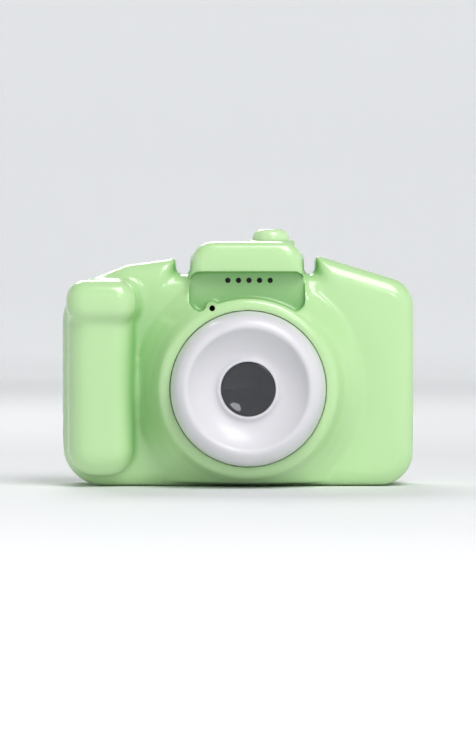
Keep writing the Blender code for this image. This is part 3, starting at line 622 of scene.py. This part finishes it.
def makeGripPart(name, sizes):
    part = addBlock(name, (sizes["left"], sizes["front"], sizes["low"]),
                    (sizes["right"], sizes["back"], sizes["high"]))
    roundEdges(part, sizes["corner"], 8, runsAlong(1))
    roundEdges(part, sizes["frontCorner"], 8, onPlane(1, sizes["front"]))
    width = sizes["right"] - sizes["left"]
    pickFaces(part, lambda centre, normal: normal.y > 0.9)  # slopes only the side that faces the lens
    bpy.ops.transform.resize(value=(1 + sizes["spread"] / width, 1, 1))
    bpy.ops.transform.translate(value=(sizes["spread"] / 2 * mm, 0, 0))
    bpy.ops.object.mode_set(mode="OBJECT")
    return part


def makeBarrel():
    flare = spinProfile("barrelFlare", barrel["flare"], (lensX, lensZ), steps=96, closed=False)
    cutAway(flare, addBlock("barrelFoot", (-45, -30, -20), (45, 10, barrel["foot"])), "EXACT")
    return flare


def makeHousingBlank():  # all outer masses melted into one soft moulded form
    core = makeCore("housingBlank", 0.0)
    for sideName, x0, x1 in (("left", *body["notchLeft"]), ("right", *body["notchRight"])):
        notch = addBlock(f"{sideName}Notch", (x0, -20, body["notchFloor"]), (x1, 30, 60))
        cutAway(core, notch, "EXACT")
    roundEdges(core, body["frontFillet"], 8, onPlane(1, body["panelFront"]))
    roundEdges(core, body["backFillet"], 8, onPlane(1, body["panelBack"]))
    top = makeCap("capBlock", 0.0)
    roundEdges(top, cap["fillet"], 6, onPlane(1, cap["front"]))
    roundEdges(top, cap["backFillet"], 6, onPlane(1, body["panelBack"]))
    column = makeGripPart("gripColumn", grip)
    head = makeGripPart("gripHead", gripHead)
    blank = gather([core, top, column, head, makeBarrel()])
    useModifier(blank, "REMESH", mode="VOXEL", voxel_size=body["coarse"] * mm, use_smooth_shade=True)
    useModifier(blank, "SMOOTH", factor=0.5, iterations=body["soften"])
    return blank


blank = makeHousingBlank()
print("housing blank", len(blank.data.polygons))


def keepSide(piece, low, high):  # keeps only what lies inside a big block
    keeper = addBlock("keeper", low, high)
    useModifier(piece, "BOOLEAN", object=keeper, operation="INTERSECT", solver="MANIFOLD")
    bpy.data.objects.remove(keeper, do_unlink=True)


def makeHollow(name, back):  # the inside of the housing, cut as one core
    inset = body["wall"]
    core = makeCore(name, inset)
    left = body["notchLeft"][0] - inset
    right = body["notchRight"][1] + inset
    notch = addBlock("hollowNotch", (left, -20, body["notchFloor"] - inset), (right, 30, 60))
    cutAway(core, notch, "EXACT")
    roundEdges(core, 1.6, 4, onPlane(1, body["panelFront"] + inset))
    cutAway(core, addBlock("hollowBack", (-50, back, -10), (50, 40, 70)), "EXACT")
    top = makeCap("capHollow", inset)
    front = addBlock("capHollowFront", (-50, -30, 0), (50, body["panelFront"] + inset, 70))
    cutAway(top, front, "EXACT")
    cutAway(top, addBlock("capHollowBack", (-50, back, -10), (50, 40, 70)), "EXACT")
    weldOn(core, top, "EXACT")
    return core


def screwSpots():
    return [tuple(middleOf(f"housing_screw_{index}").xz) for index in range(1, 5)]


def strapPocket(side, grow, near, far):  # an oval block between two distances from the middle
    low, high = sorted((side * near, side * far))
    depth = strap["halfDepth"] + grow
    height = strap["halfHeight"] + grow
    return roundedBlock("strapPocket", (low, strap["y"] - depth, strap["z"] - height),
                        (high, strap["y"] + depth, strap["z"] + height), 0, strap["corner"] + grow)


def makeFrontShell():
    shell = copyOf(blank, "frontShell")
    keepSide(shell, (-50, -40, -10), (50, body["gapFront"], 70))
    seat = addRod("ringSeat", ring["outer"] + barrel["seatGap"], (lensX, -40, lensZ),
                  (lensX, barrel["seatBack"], lensZ), sides=128)
    cutAway(shell, seat)
    floor = body["panelFront"] + recess["sunk"]
    pocket = roundedBlock("speakerRecess", (recess["left"], -40, recess["low"]),
                          (recess["right"], floor, recess["high"]), 1, recess["corner"])
    rim = addRod("barrelTop", recess["rim"], (lensX, -50, lensZ), (lensX, 0, lensZ), sides=128)
    cutAway(pocket, rim, "EXACT")
    mic = middleOf("microphone")
    micBoss = addRod("micBoss", recess["micBoss"], (mic.x, -50, mic.z), (mic.x, 0, mic.z), sides=48)
    cutAway(pocket, micBoss, "EXACT")
    cutAway(shell, pocket)
    for side in (-1, 1):
        cutAway(shell, strapPocket(side, 0.0, 37.0, 44.0))
    useModifier(shell, "REMESH", mode="VOXEL", voxel_size=body["fine"] * mm, use_smooth_shade=True)
    useModifier(shell, "SMOOTH", factor=0.5, iterations=3)
    keepSide(shell, (-50, -40, -10), (50, body["gapFront"] - 0.02, 70))
    hollowFront(shell)
    addFrontDetail(shell)
    return finish(shell, "camera", plastics["bodyGreen"], ["front_shell"])


def hollowFront(shell):
    cutAway(shell, makeHollow("frontHollow", 20.0))
    inner = grip["front"] + grip["wall"]
    hand = addBlock("gripHollow", (-36.6, inner, 4.8), (-26.4, 4.0, 43.0))
    roundEdges(hand, 4.2, 6, runsAlong(1))
    roundEdges(hand, 4.0, 6, onPlane(1, inner))
    cutAway(shell, hand)
    flare = spinProfile("barrelHollow", barrel["hollow"], (lensX, lensZ), steps=64, closed=False)
    cutAway(flare, addBlock("flareTop", (-45, -30, barrel["hollowHigh"]), (45, 10, 70)), "EXACT")
    cutAway(flare, addBlock("flareFoot", (-45, -30, -20), (45, 10, barrel["hollowLow"])), "EXACT")
    cutAway(shell, flare)


def addFrontDetail(shell):
    posts = []
    for x, z in screwSpots():
        post = addRod("screwBoss", bosses["screw"], (x, 3.2, z), (x, body["gapFront"] - 0.1, z), sides=40)
        cutAway(post, addRod("pilot", bosses["screwHole"], (x, 4.4, z), (x, 20, z), sides=24), "EXACT")
        posts.append(post)
    for name in ("board_screw_1", "board_screw_2"):
        x, z = middleOf(name).xz
        post = addRod("boardPost", bosses["board"], (x, -4.0, z), (x, 10.9, z), sides=32)
        cutAway(post, addRod("pilot", bosses["boardHole"], (x, 4.0, z), (x, 20, z), sides=24), "EXACT")
        posts.append(post)
    for post in posts:
        weldOn(shell, post)
    for side in (-1, 1):
        cup = strapPocket(side, strap["wall"], 34.2, 38.4)
        cutAway(cup, strapPocket(side, 0.0, 35.6, 44.0), "EXACT")
        weldOn(shell, cup)
        cutAway(shell, strapPocket(side, 0.0, 35.6, 44.0))
        bar = addBlock("strapBar", (side * 38.2 - 0.9, -3.4, 10.6), (side * 38.2 + 0.9, 3.8, 12.4))
        roundEdges(bar, 0.7, 4, runsAlong(1))
        weldOn(shell, bar)
    cutAway(shell, addRod("lensHole", 7.2, (lensX, -20, lensZ), (lensX, 0, lensZ), sides=64))
    speaker = middleOf("speaker")
    for index in range(5):
        x = speaker.x + 2.4 * (index - 2)
        hole = addRod("speakerHole", 0.62, (x, -9, speaker.z + 0.8), (x, 0, speaker.z + 0.8), sides=20)
        cutAway(shell, hole)
    mic = middleOf("microphone")
    weldOn(shell, addRod("micTube", 1.5, (mic.x, -8.6, mic.z), (mic.x, -3.4, mic.z), sides=24))
    cutAway(shell, addRod("micHole", 0.66, (mic.x, -20, mic.z), (mic.x, -1, mic.z), sides=24))
    button = middleOf("shutter_button")
    profile = [(4.0, 54.6), (5.6, 54.6), (5.5, 55.75), (5.25, 55.95), (4.85, 55.95), (4.0, 55.8)]
    collar = spinProfile("shutterCollar", profile, (button.x, button.y), axis="Z", steps=64)
    weldOn(shell, collar)
    hole = addRod("shutterHole", 4.5, (button.x, button.y, 50), (button.x, button.y, 60), axis="Z", sides=64)
    cutAway(shell, hole)


def counterboreAt(x, z):
    return addRod("counterbore", bosses["counterbore"], (x, bosses["headSeat"], z), (x, 26, z), sides=48)


rear = {"gap": 0.3, "eyeSides": 2.0, "eyeRims": 1.3, "eyeBack": 22.5, "eyeCorner": 3.2, "eyeEdge": 0.7,
        "eyeSunk": 21.0, "screenSunk": 20.2, "screenCorner": 4.3, "portDeep": 1.2}


def makeRearShell():
    shell = copyOf(blank, "rearShell")
    keepSide(shell, (-50, body["gapBack"], -10), (50, 40, 70))
    gap = rear["gap"]
    low, high = sizeOf("viewfinder_window")
    eye = roundedBlock("eyepiece", (low.x - rear["eyeSides"], 19.5, low.z - rear["eyeRims"]),
                       (high.x + rear["eyeSides"], rear["eyeBack"], high.z + rear["eyeRims"]), 1,
                       rear["eyeCorner"])
    roundEdges(eye, rear["eyeEdge"], 4, onPlane(1, rear["eyeBack"]))
    weldOn(shell, eye)
    cutAway(shell, roundedBlock("eyeRecess", (low.x - gap, rear["eyeSunk"], low.z - gap),
                                (high.x + gap, 26, high.z + gap), 1, 2.0))
    low, high = sizeOf("screen_window")
    cutAway(shell, roundedBlock("screenRecess", (low.x - gap, rear["screenSunk"], low.z - gap),
                                (high.x + gap, 26, high.z + gap), 1, rear["screenCorner"]))
    for x, z in screwSpots():
        cutAway(shell, counterboreAt(x, z))
    low, high = sizeOf("port_cover")
    cutAway(shell, roundedBlock("portRecess", (low.x - gap, low.y - gap, -3),
                                (high.x + gap, high.y + gap, rear["portDeep"]), 2, 1.2))
    useModifier(shell, "REMESH", mode="VOXEL", voxel_size=body["fine"] * mm, use_smooth_shade=True)
    useModifier(shell, "SMOOTH", factor=0.5, iterations=3)
    keepSide(shell, (-50, body["gapBack"] + 0.02, -10), (50, 40, 70))
    addRearDetail(shell)
    return finish(shell, "camera", plastics["bodyGreen"], ["rear_shell"])


def addRearDetail(shell):
    cutAway(shell, makeHollow("rearHollow", 19.5))
    low, high = sizeOf("screen_window")
    cutAway(shell, roundedBlock("screenOpening", (low.x + 1.8, 15, low.z + 3),
                                (high.x - 1.8, 26, high.z - 3), 1, 1.5))
    for x, z in screwSpots():
        boss = addRod("rearBoss", bosses["screw"], (x, body["gapBack"] + 0.1, z), (x, 20.0, z), sides=40)
        cutAway(boss, addRod("clearance", bosses["screwHole"], (x, 5, z), (x, 30, z), sides=24), "EXACT")
        headRoom = addRod("headRoom", bosses["counterbore"], (x, bosses["headSeat"], z), (x, 30, z), sides=48)
        cutAway(boss, headRoom, "EXACT")
        weldOn(shell, boss)
        cutAway(shell, counterboreAt(x, z))
    for key, radius in keySizes.items():
        x, z = middleOf(f"{key}_button").xz
        cutAway(shell, addRod("keyHole", radius + keys["gap"], (x, 15, z), (x, 26, z), sides=48))
    cutAway(shell, roundedBlock("usbSlot", (8.6, 12.4, 0.5), (17.0, 15.6, 3.0), 2, 1.2))
    cutAway(shell, roundedBlock("cardSlot", (19.4, 12.8, 0.5), (31.6, 14.5, 3.0), 2, 0.3))


keySizes = {"mode": 2.5, "up": 2.2, "left": 1.9, "right": 1.9, "down": 2.2}  # radii
keys = {"gap": 0.3, "face": 22.2, "mark": 1.1, "smallMark": 0.95, "ringOuter": 1.3, "ringInner": 0.85,
        "markHeight": 0.22, "markSunk": 0.06, "markEdge": 0.06}
frontShell = makeFrontShell()
print("front shell", len(frontShell.data.polygons))
rearShell = makeRearShell()
print("rear shell", len(rearShell.data.polygons))


# lens

def makeLensRing():
    crest = ring["crest"]
    profile = [
        (ring["bore"], crest + 6.1), (ring["bore"], -18.75), (6.28, -18.95), (ring["lipOuter"], -18.98),
        (7.0, -18.72), (7.5, -18.45), (8.6, -18.6), (9.9, -19.1), (11.2, -19.9), (12.4, -20.9), (13.1, -21.7),
        (13.5, -22.25),
        (ring["crestRadius"], crest), (14.5, crest + 0.02), (15.2, crest + 0.35), (15.9, crest + 1.0),
        (16.5, crest + 2.0), (16.95, crest + 3.4), (17.25, crest + 5.2), (ring["outer"], crest + 7.4),
        (ring["outer"], ring["back"]), (15.8, ring["back"]), (15.6, -17.0), (14.5, -20.0), (13.6, -20.4),
        (11.4, -18.3), (8.4, -16.8), (7.6, -16.4)]
    piece = spinProfile("lensRing", profile, (lensX, lensZ), steps=128)
    return finish(piece, "camera", plastics["ringWhite"], ["lens_ring"], 50)


def makeLensWindow():  # a shallow dish of smoked clear plastic
    profile = [(0.0, -18.1), (1.5, -18.12), (2.7, -18.18), (3.6, -18.27), (4.3, -18.39), (4.9, -18.52),
               (5.4, -18.64), (5.75, -18.7), (6.0, -18.62), (6.1, -18.4), (6.1, -17.5), (0.0, -17.5)]
    piece = spinProfile("lensWindow", profile, (lensX, lensZ), steps=96, closed=False)
    return finish(piece, "camera", windowGlass, ["lens_window"])


def makeLensMask():  # a stepped black baffle behind the window
    profile = [(2.6, -16.6), (2.6, -16.85), (3.2, -16.9), (3.25, -17.0), (3.9, -17.0), (3.95, -17.1),
               (4.7, -17.1), (4.75, -17.2), (6.1, -17.2), (6.1, -16.6)]
    piece = spinProfile("lensMask", profile, (lensX, lensZ), steps=96)
    return finish(piece, "camera", plastics["blackMould"], ["lens_mask"])


def makeLensGlass():
    profile = [(0.0, -15.1), (1.3, -15.04), (2.6, -14.75), (3.5, -14.3), (3.8, -14.0), (3.8, -12.8),
               (3.4, -12.6), (0.0, -12.6)]
    piece = spinProfile("lensGlass", profile, (lensX, lensZ), steps=64, closed=False)
    return finish(piece, "camera", lensGlass, ["lens_glass"])


makeLensRing()
makeLensWindow()
makeLensMask()
makeLensGlass()
print("lens made")


# buttons and keys

def makeShutterButton():
    middle = middleOf("shutter_button")
    profile = [
        (0.0, 52.6), (1.6, 52.6), (1.6, 52.9), (4.7, 52.9), (4.7, 53.5), (4.2, 53.5), (4.2, 56.5), (4.1, 57.1),
        (3.88, 57.6), (3.5, 58.05), (3.0, 58.38), (2.55, 58.5), (2.2, 58.46), (1.8, 58.32), (1.2, 58.17),
        (0.6, 58.1), (0.0, 58.08)]
    piece = spinProfile("shutterButton", profile, (middle.x, middle.y), axis="Z", steps=96, closed=False)
    return finish(piece, "shutter", plastics["buttonGreen"], ["shutter_button"])


def makeKey(name):
    radius = keySizes[name]
    middle = middleOf(f"{name}_button")
    face = keys["face"]
    profile = [
        (0.0, 18.1), (1.2, 18.1), (1.2, 18.5), (radius + 0.5, 18.5), (radius + 0.5, 19.2), (radius, 19.2),
        (radius, face - 0.55), (radius - 0.1, face - 0.25), (radius - 0.35, face - 0.06), (radius - 0.7, face),
        (0.0, face - 0.02)]
    piece = spinProfile(f"{name}Key", profile, (middle.x, middle.z), steps=64, closed=False)
    finish(piece, f"{name}_key", plastics["keyWhite"], [f"{name}_button"])
    makeMark(name, middle)


def makeMark(name, middle):  # a small raised sign on the key: an arrow, or a ring on the mode key
    turns = {"up": 0.0, "left": math.pi / 2, "down": math.pi, "right": -math.pi / 2}
    sides, radius = 3, keys["mark"]
    if name in ("left", "right"):
        radius = keys["smallMark"]
    elif name not in turns:
        sides, radius = 48, keys["ringOuter"]
    clearSelection()
    centre = Vector((middle.x, keys["face"] - keys["markSunk"], middle.z)) * mm
    bpy.ops.mesh.primitive_cylinder_add(vertices=sides, radius=radius * mm, depth=keys["markHeight"] * mm,
                                        location=centre, rotation=(math.pi / 2, turns.get(name, 0.0), 0))
    mark = bpy.context.object
    mark.name = f"{name}Mark"
    settle(mark)
    if name not in turns:
        hole = addRod("markHole", keys["ringInner"], (middle.x, 20, middle.z), (middle.x, 24, middle.z))
        cutAway(mark, hole, "EXACT")
    softenEdges(mark, keys["markEdge"])
    finish(mark, f"{name}_key", plastics["markGrey"])


makeShutterButton()
for keyName in keySizes:
    makeKey(keyName)
print("buttons made")


# windows on the back

def screenLook():
    material, tree, shader = newMaterial("screenGlass")
    middle = middleOf("screen_window")
    place = tree.nodes.new("ShaderNodeTexCoord").outputs["Object"]
    split = tree.nodes.new("ShaderNodeSeparateXYZ")
    tree.links.new(place, split.inputs["Vector"])
    sides = []
    for axis, centre, half in (("X", middle.x, 20.4), ("Z", middle.z, 15.4)):  # the picture area
        away = addMath(tree, "ABSOLUTE", addMath(tree, "SUBTRACT", split.outputs[axis], centre * mm), 0.0)
        sides.append(addRange(tree, away, (half + 0.05) * mm, (half - 0.05) * mm))
    lit = addMath(tree, "MULTIPLY", sides[0], sides[1])
    rows = tree.nodes.new("ShaderNodeTexWave")
    rows.bands_direction = "Z"
    rows.inputs["Scale"].default_value = 900.0
    tree.links.new(place, rows.inputs["Vector"])
    haze = addMix(tree, addNoise(tree, place, 60.0), (0.014, 0.017, 0.024, 1), (0.022, 0.026, 0.036, 1))
    stripe = addRange(tree, rows.outputs["Fac"], 0.3, 0.7, 0.0, 0.35)
    panel = addMix(tree, stripe, haze, (0.01, 0.012, 0.018, 1))
    tree.links.new(addMix(tree, lit, (0.004, 0.004, 0.0045, 1), panel), shader.inputs["Base Color"])
    smear = addNoise(tree, place, 140.0, 5.0, 0.65)
    tree.links.new(addRange(tree, smear, 0.45, 0.75, 0.03, 0.16), shader.inputs["Roughness"])
    addBump(tree, shader, smear, 0.03, 0.01)
    shader.inputs["Coat Weight"].default_value = 0.5
    shader.inputs["Coat Roughness"].default_value = 0.03
    return material


def makeWindow(name, node, corner, crown, material):
    low, high = sizeOf(node)
    piece = addBlock(name, low, high)
    roundEdges(piece, corner, 10, runsAlong(1))
    roundEdges(piece, crown, 4, onPlane(1, high.y))
    return finish(piece, "camera", material, [node])


screenGlass = screenLook()
makeWindow("screenWindow", "screen_window", 4.0, 0.35, screenGlass)
makeWindow("viewfinderWindow", "viewfinder_window", 1.7, 0.3, screenGlass)


# port cover and screws

def makePortCover():
    low, high = sizeOf("port_cover")
    piece = roundedBlock("portCover", low, high, 2, 0.9)
    roundEdges(piece, 0.22, 3, lambda a, b: abs(a.z - b.z) < 0.01)
    for index in range(4):  # finger ribs at the free end
        x = high.x - 2.0 - 1.1 * index
        rib = addBlock("rib", (x - 0.25, low.y + 0.9, low.z - 0.04), (x + 0.25, high.y - 0.9, low.z + 0.3))
        roundEdges(rib, 0.12, 3, lambda a, b: min(a.z, b.z) < low.z + 0.1 and abs(a.z - b.z) < 0.01)
        weldOn(piece, rib, "EXACT")
    for x in (low.x + 1.9, low.x + 2.9):  # the two grooves where it bends
        groove = addRod("groove", 0.22, (x, low.y - 1, low.z), (x, high.y + 1, low.z), sides=24)
        cutAway(piece, groove, "EXACT")
    return finish(piece, "port_flap", plastics["flapGreen"], ["port_cover"])


def makeScrews():  # one screw with a cross slot, copied to the four corners
    profile = [(0.0, 5.4), (0.45, 5.4), (1.0, 6.4), (1.0, 16.8), (1.8, 16.8), (1.85, 17.1), (1.7, 17.45),
               (1.3, 17.65), (0.0, 17.7)]
    spots = screwSpots()
    startX, startZ = spots[0]
    pattern = spinProfile("screwPattern", profile, (startX, startZ), steps=48, closed=False)
    for wide, tall in ((1.15, 0.22), (0.22, 1.15)):
        slot = addBlock("slot", (startX - wide, 17.0, startZ - tall), (startX + wide, 19, startZ + tall))
        cutAway(pattern, slot, "EXACT")
    for index, (x, z) in enumerate(spots, start=1):
        screw = copyOf(pattern, f"housingScrew{index}")
        moveMesh(screw, (x - startX, 0, z - startZ))
        finish(screw, "camera", steel, [f"housing_screw_{index}"])
    bpy.data.objects.remove(pattern, do_unlink=True)


makePortCover()
makeScrews()
print("small parts made")


# materials of the pieces that stay as they are

presses = [*keySizes, "shutter"]
carried = {
    "blackMould": ["lens_holder", "speaker"] + [f"{press}_plunger" for press in presses],
    "chipBlack": ["image_sensor", "processor_chip", "memory_chip"],
    "bootBlack": ["microphone", "microphone_boot"],
    "cardBlack": ["memory_card"],
    "frameWhite": ["lcd_frame"],
    "tapeGrey": ["battery_tape"],
    "wireRed": ["battery_lead", "speaker_lead"],
}


def giveMaterial(name, material):
    nodes[name].data.materials.clear()
    nodes[name].data.materials.append(material)


for look, names in carried.items():
    for name in names:
        giveMaterial(name, plastics[look])
switches = [f"{press}_switch" for press in presses]
for name in ["usb_socket", "card_slot", "board_screw_1", "board_screw_2"] + switches:
    giveMaterial(name, steel)
for name in ("sensor_board", "main_board", "key_board", "shutter_board"):
    giveMaterial(name, boardGreen)
for name in ("lcd_ribbon", "sensor_ribbon", "shutter_ribbon", "key_ribbon"):
    giveMaterial(name, ribbonAmber)
giveMaterial("battery", foilSilver)
giveMaterial("lens_barrel", barrelMetal)
giveMaterial("lcd_panel", screenGlass)
bpy.data.objects.remove(blank, do_unlink=True)


# stage

studio = {
    "floorTone": (0.86, 0.865, 0.87), "floorRadius": 2.0, "viewHeight": 27.5, "distance": 1.1, "lens": 238,
    "coveSteps": ((1.12, 0.03), (1.1, 0.1), (1.08, 0.18), (1.05, 0.26), (1.02, 0.36), (1.0, 0.4)),
    "glowStart": 0.2, "glowFull": 1.2, "wallGlow": 0.42, "room": 0.15,
}


def makeStage():
    clearSelection()
    bpy.ops.mesh.primitive_circle_add(vertices=128, radius=studio["floorRadius"], fill_type="NGON")
    floor = bpy.context.object
    floor.name = "studioFloor"
    bpy.ops.object.mode_set(mode="EDIT")
    bpy.ops.mesh.select_mode(type="EDGE")
    bpy.ops.mesh.select_all(action="SELECT")
    for grow, rise in studio["coveSteps"]:
        bpy.ops.mesh.extrude_edges_move(TRANSFORM_OT_translate={"value": (0, 0, rise)})
        bpy.ops.transform.resize(value=(grow, grow, 1))
    bpy.ops.object.mode_set(mode="OBJECT")
    bpy.ops.object.shade_smooth()
    material, tree, shader = newMaterial("paleFloor")
    place = tree.nodes.new("ShaderNodeTexCoord").outputs["Object"]
    tone = addMix(tree, addNoise(tree, place, 3.0), (*studio["floorTone"], 1), (0.8, 0.81, 0.82, 1))
    tree.links.new(tone, shader.inputs["Base Color"])
    shader.inputs["Roughness"].default_value = 0.6
    away = tree.nodes.new("ShaderNodeVectorMath")
    away.operation = "LENGTH"
    tree.links.new(place, away.inputs[0])
    far = addRange(tree, away.outputs["Value"], studio["glowStart"], studio["glowFull"])
    tree.links.new(addMix(tree, far, (0, 0, 0, 1), (0.97, 0.985, 1, 1)), shader.inputs["Emission Color"])
    shader.inputs["Emission Strength"].default_value = studio["wallGlow"]
    floor.data.materials.append(material)


def addLight(name, place, size, power):  # an area light that looks at the camera's middle
    data = bpy.data.lights.new(name, "AREA")
    data.shape = "RECTANGLE"
    data.size = size[0]
    data.size_y = size[1]
    data.energy = power
    light = bpy.data.objects.new(name, data)
    light.location = place
    light.rotation_euler = (Vector((0, 0, 0.03)) - Vector(place)).to_track_quat("-Z", "Y").to_euler()
    bpy.context.scene.collection.objects.link(light)


def makeLights():
    addLight("keySoft", (0.22, -0.44, 0.66), (0.38, 0.56), 4.75)
    addLight("lensSpark", (0.235, -0.92, 0.33), (0.16, 0.16), 0.5)
    addLight("rearSoft", (-0.15, 0.6, 0.55), (0.4, 0.3), 2.2)
    world = bpy.data.worlds.new("paleRoom")
    world.use_nodes = True
    world.node_tree.nodes["Background"].inputs["Color"].default_value = (0.93, 0.96, 1.0, 1)
    world.node_tree.nodes["Background"].inputs["Strength"].default_value = studio["room"]
    bpy.context.scene.world = world


def makeCamera():
    data = bpy.data.cameras.new("viewCamera")
    data.lens = studio["lens"]
    data.clip_end = 20.0
    camera = bpy.data.objects.new("viewCamera", data)
    height = studio["viewHeight"] * mm
    camera.location = (0.0, -studio["distance"], height + 0.02)
    camera.rotation_euler = (Vector((0, 0, height)) - camera.location).to_track_quat("-Z", "Y").to_euler()
    bpy.context.scene.collection.objects.link(camera)
    bpy.context.scene.camera = camera


makeStage()
makeLights()
makeCamera()
bpy.context.scene.view_settings.view_transform = "Standard"
print("stage made")
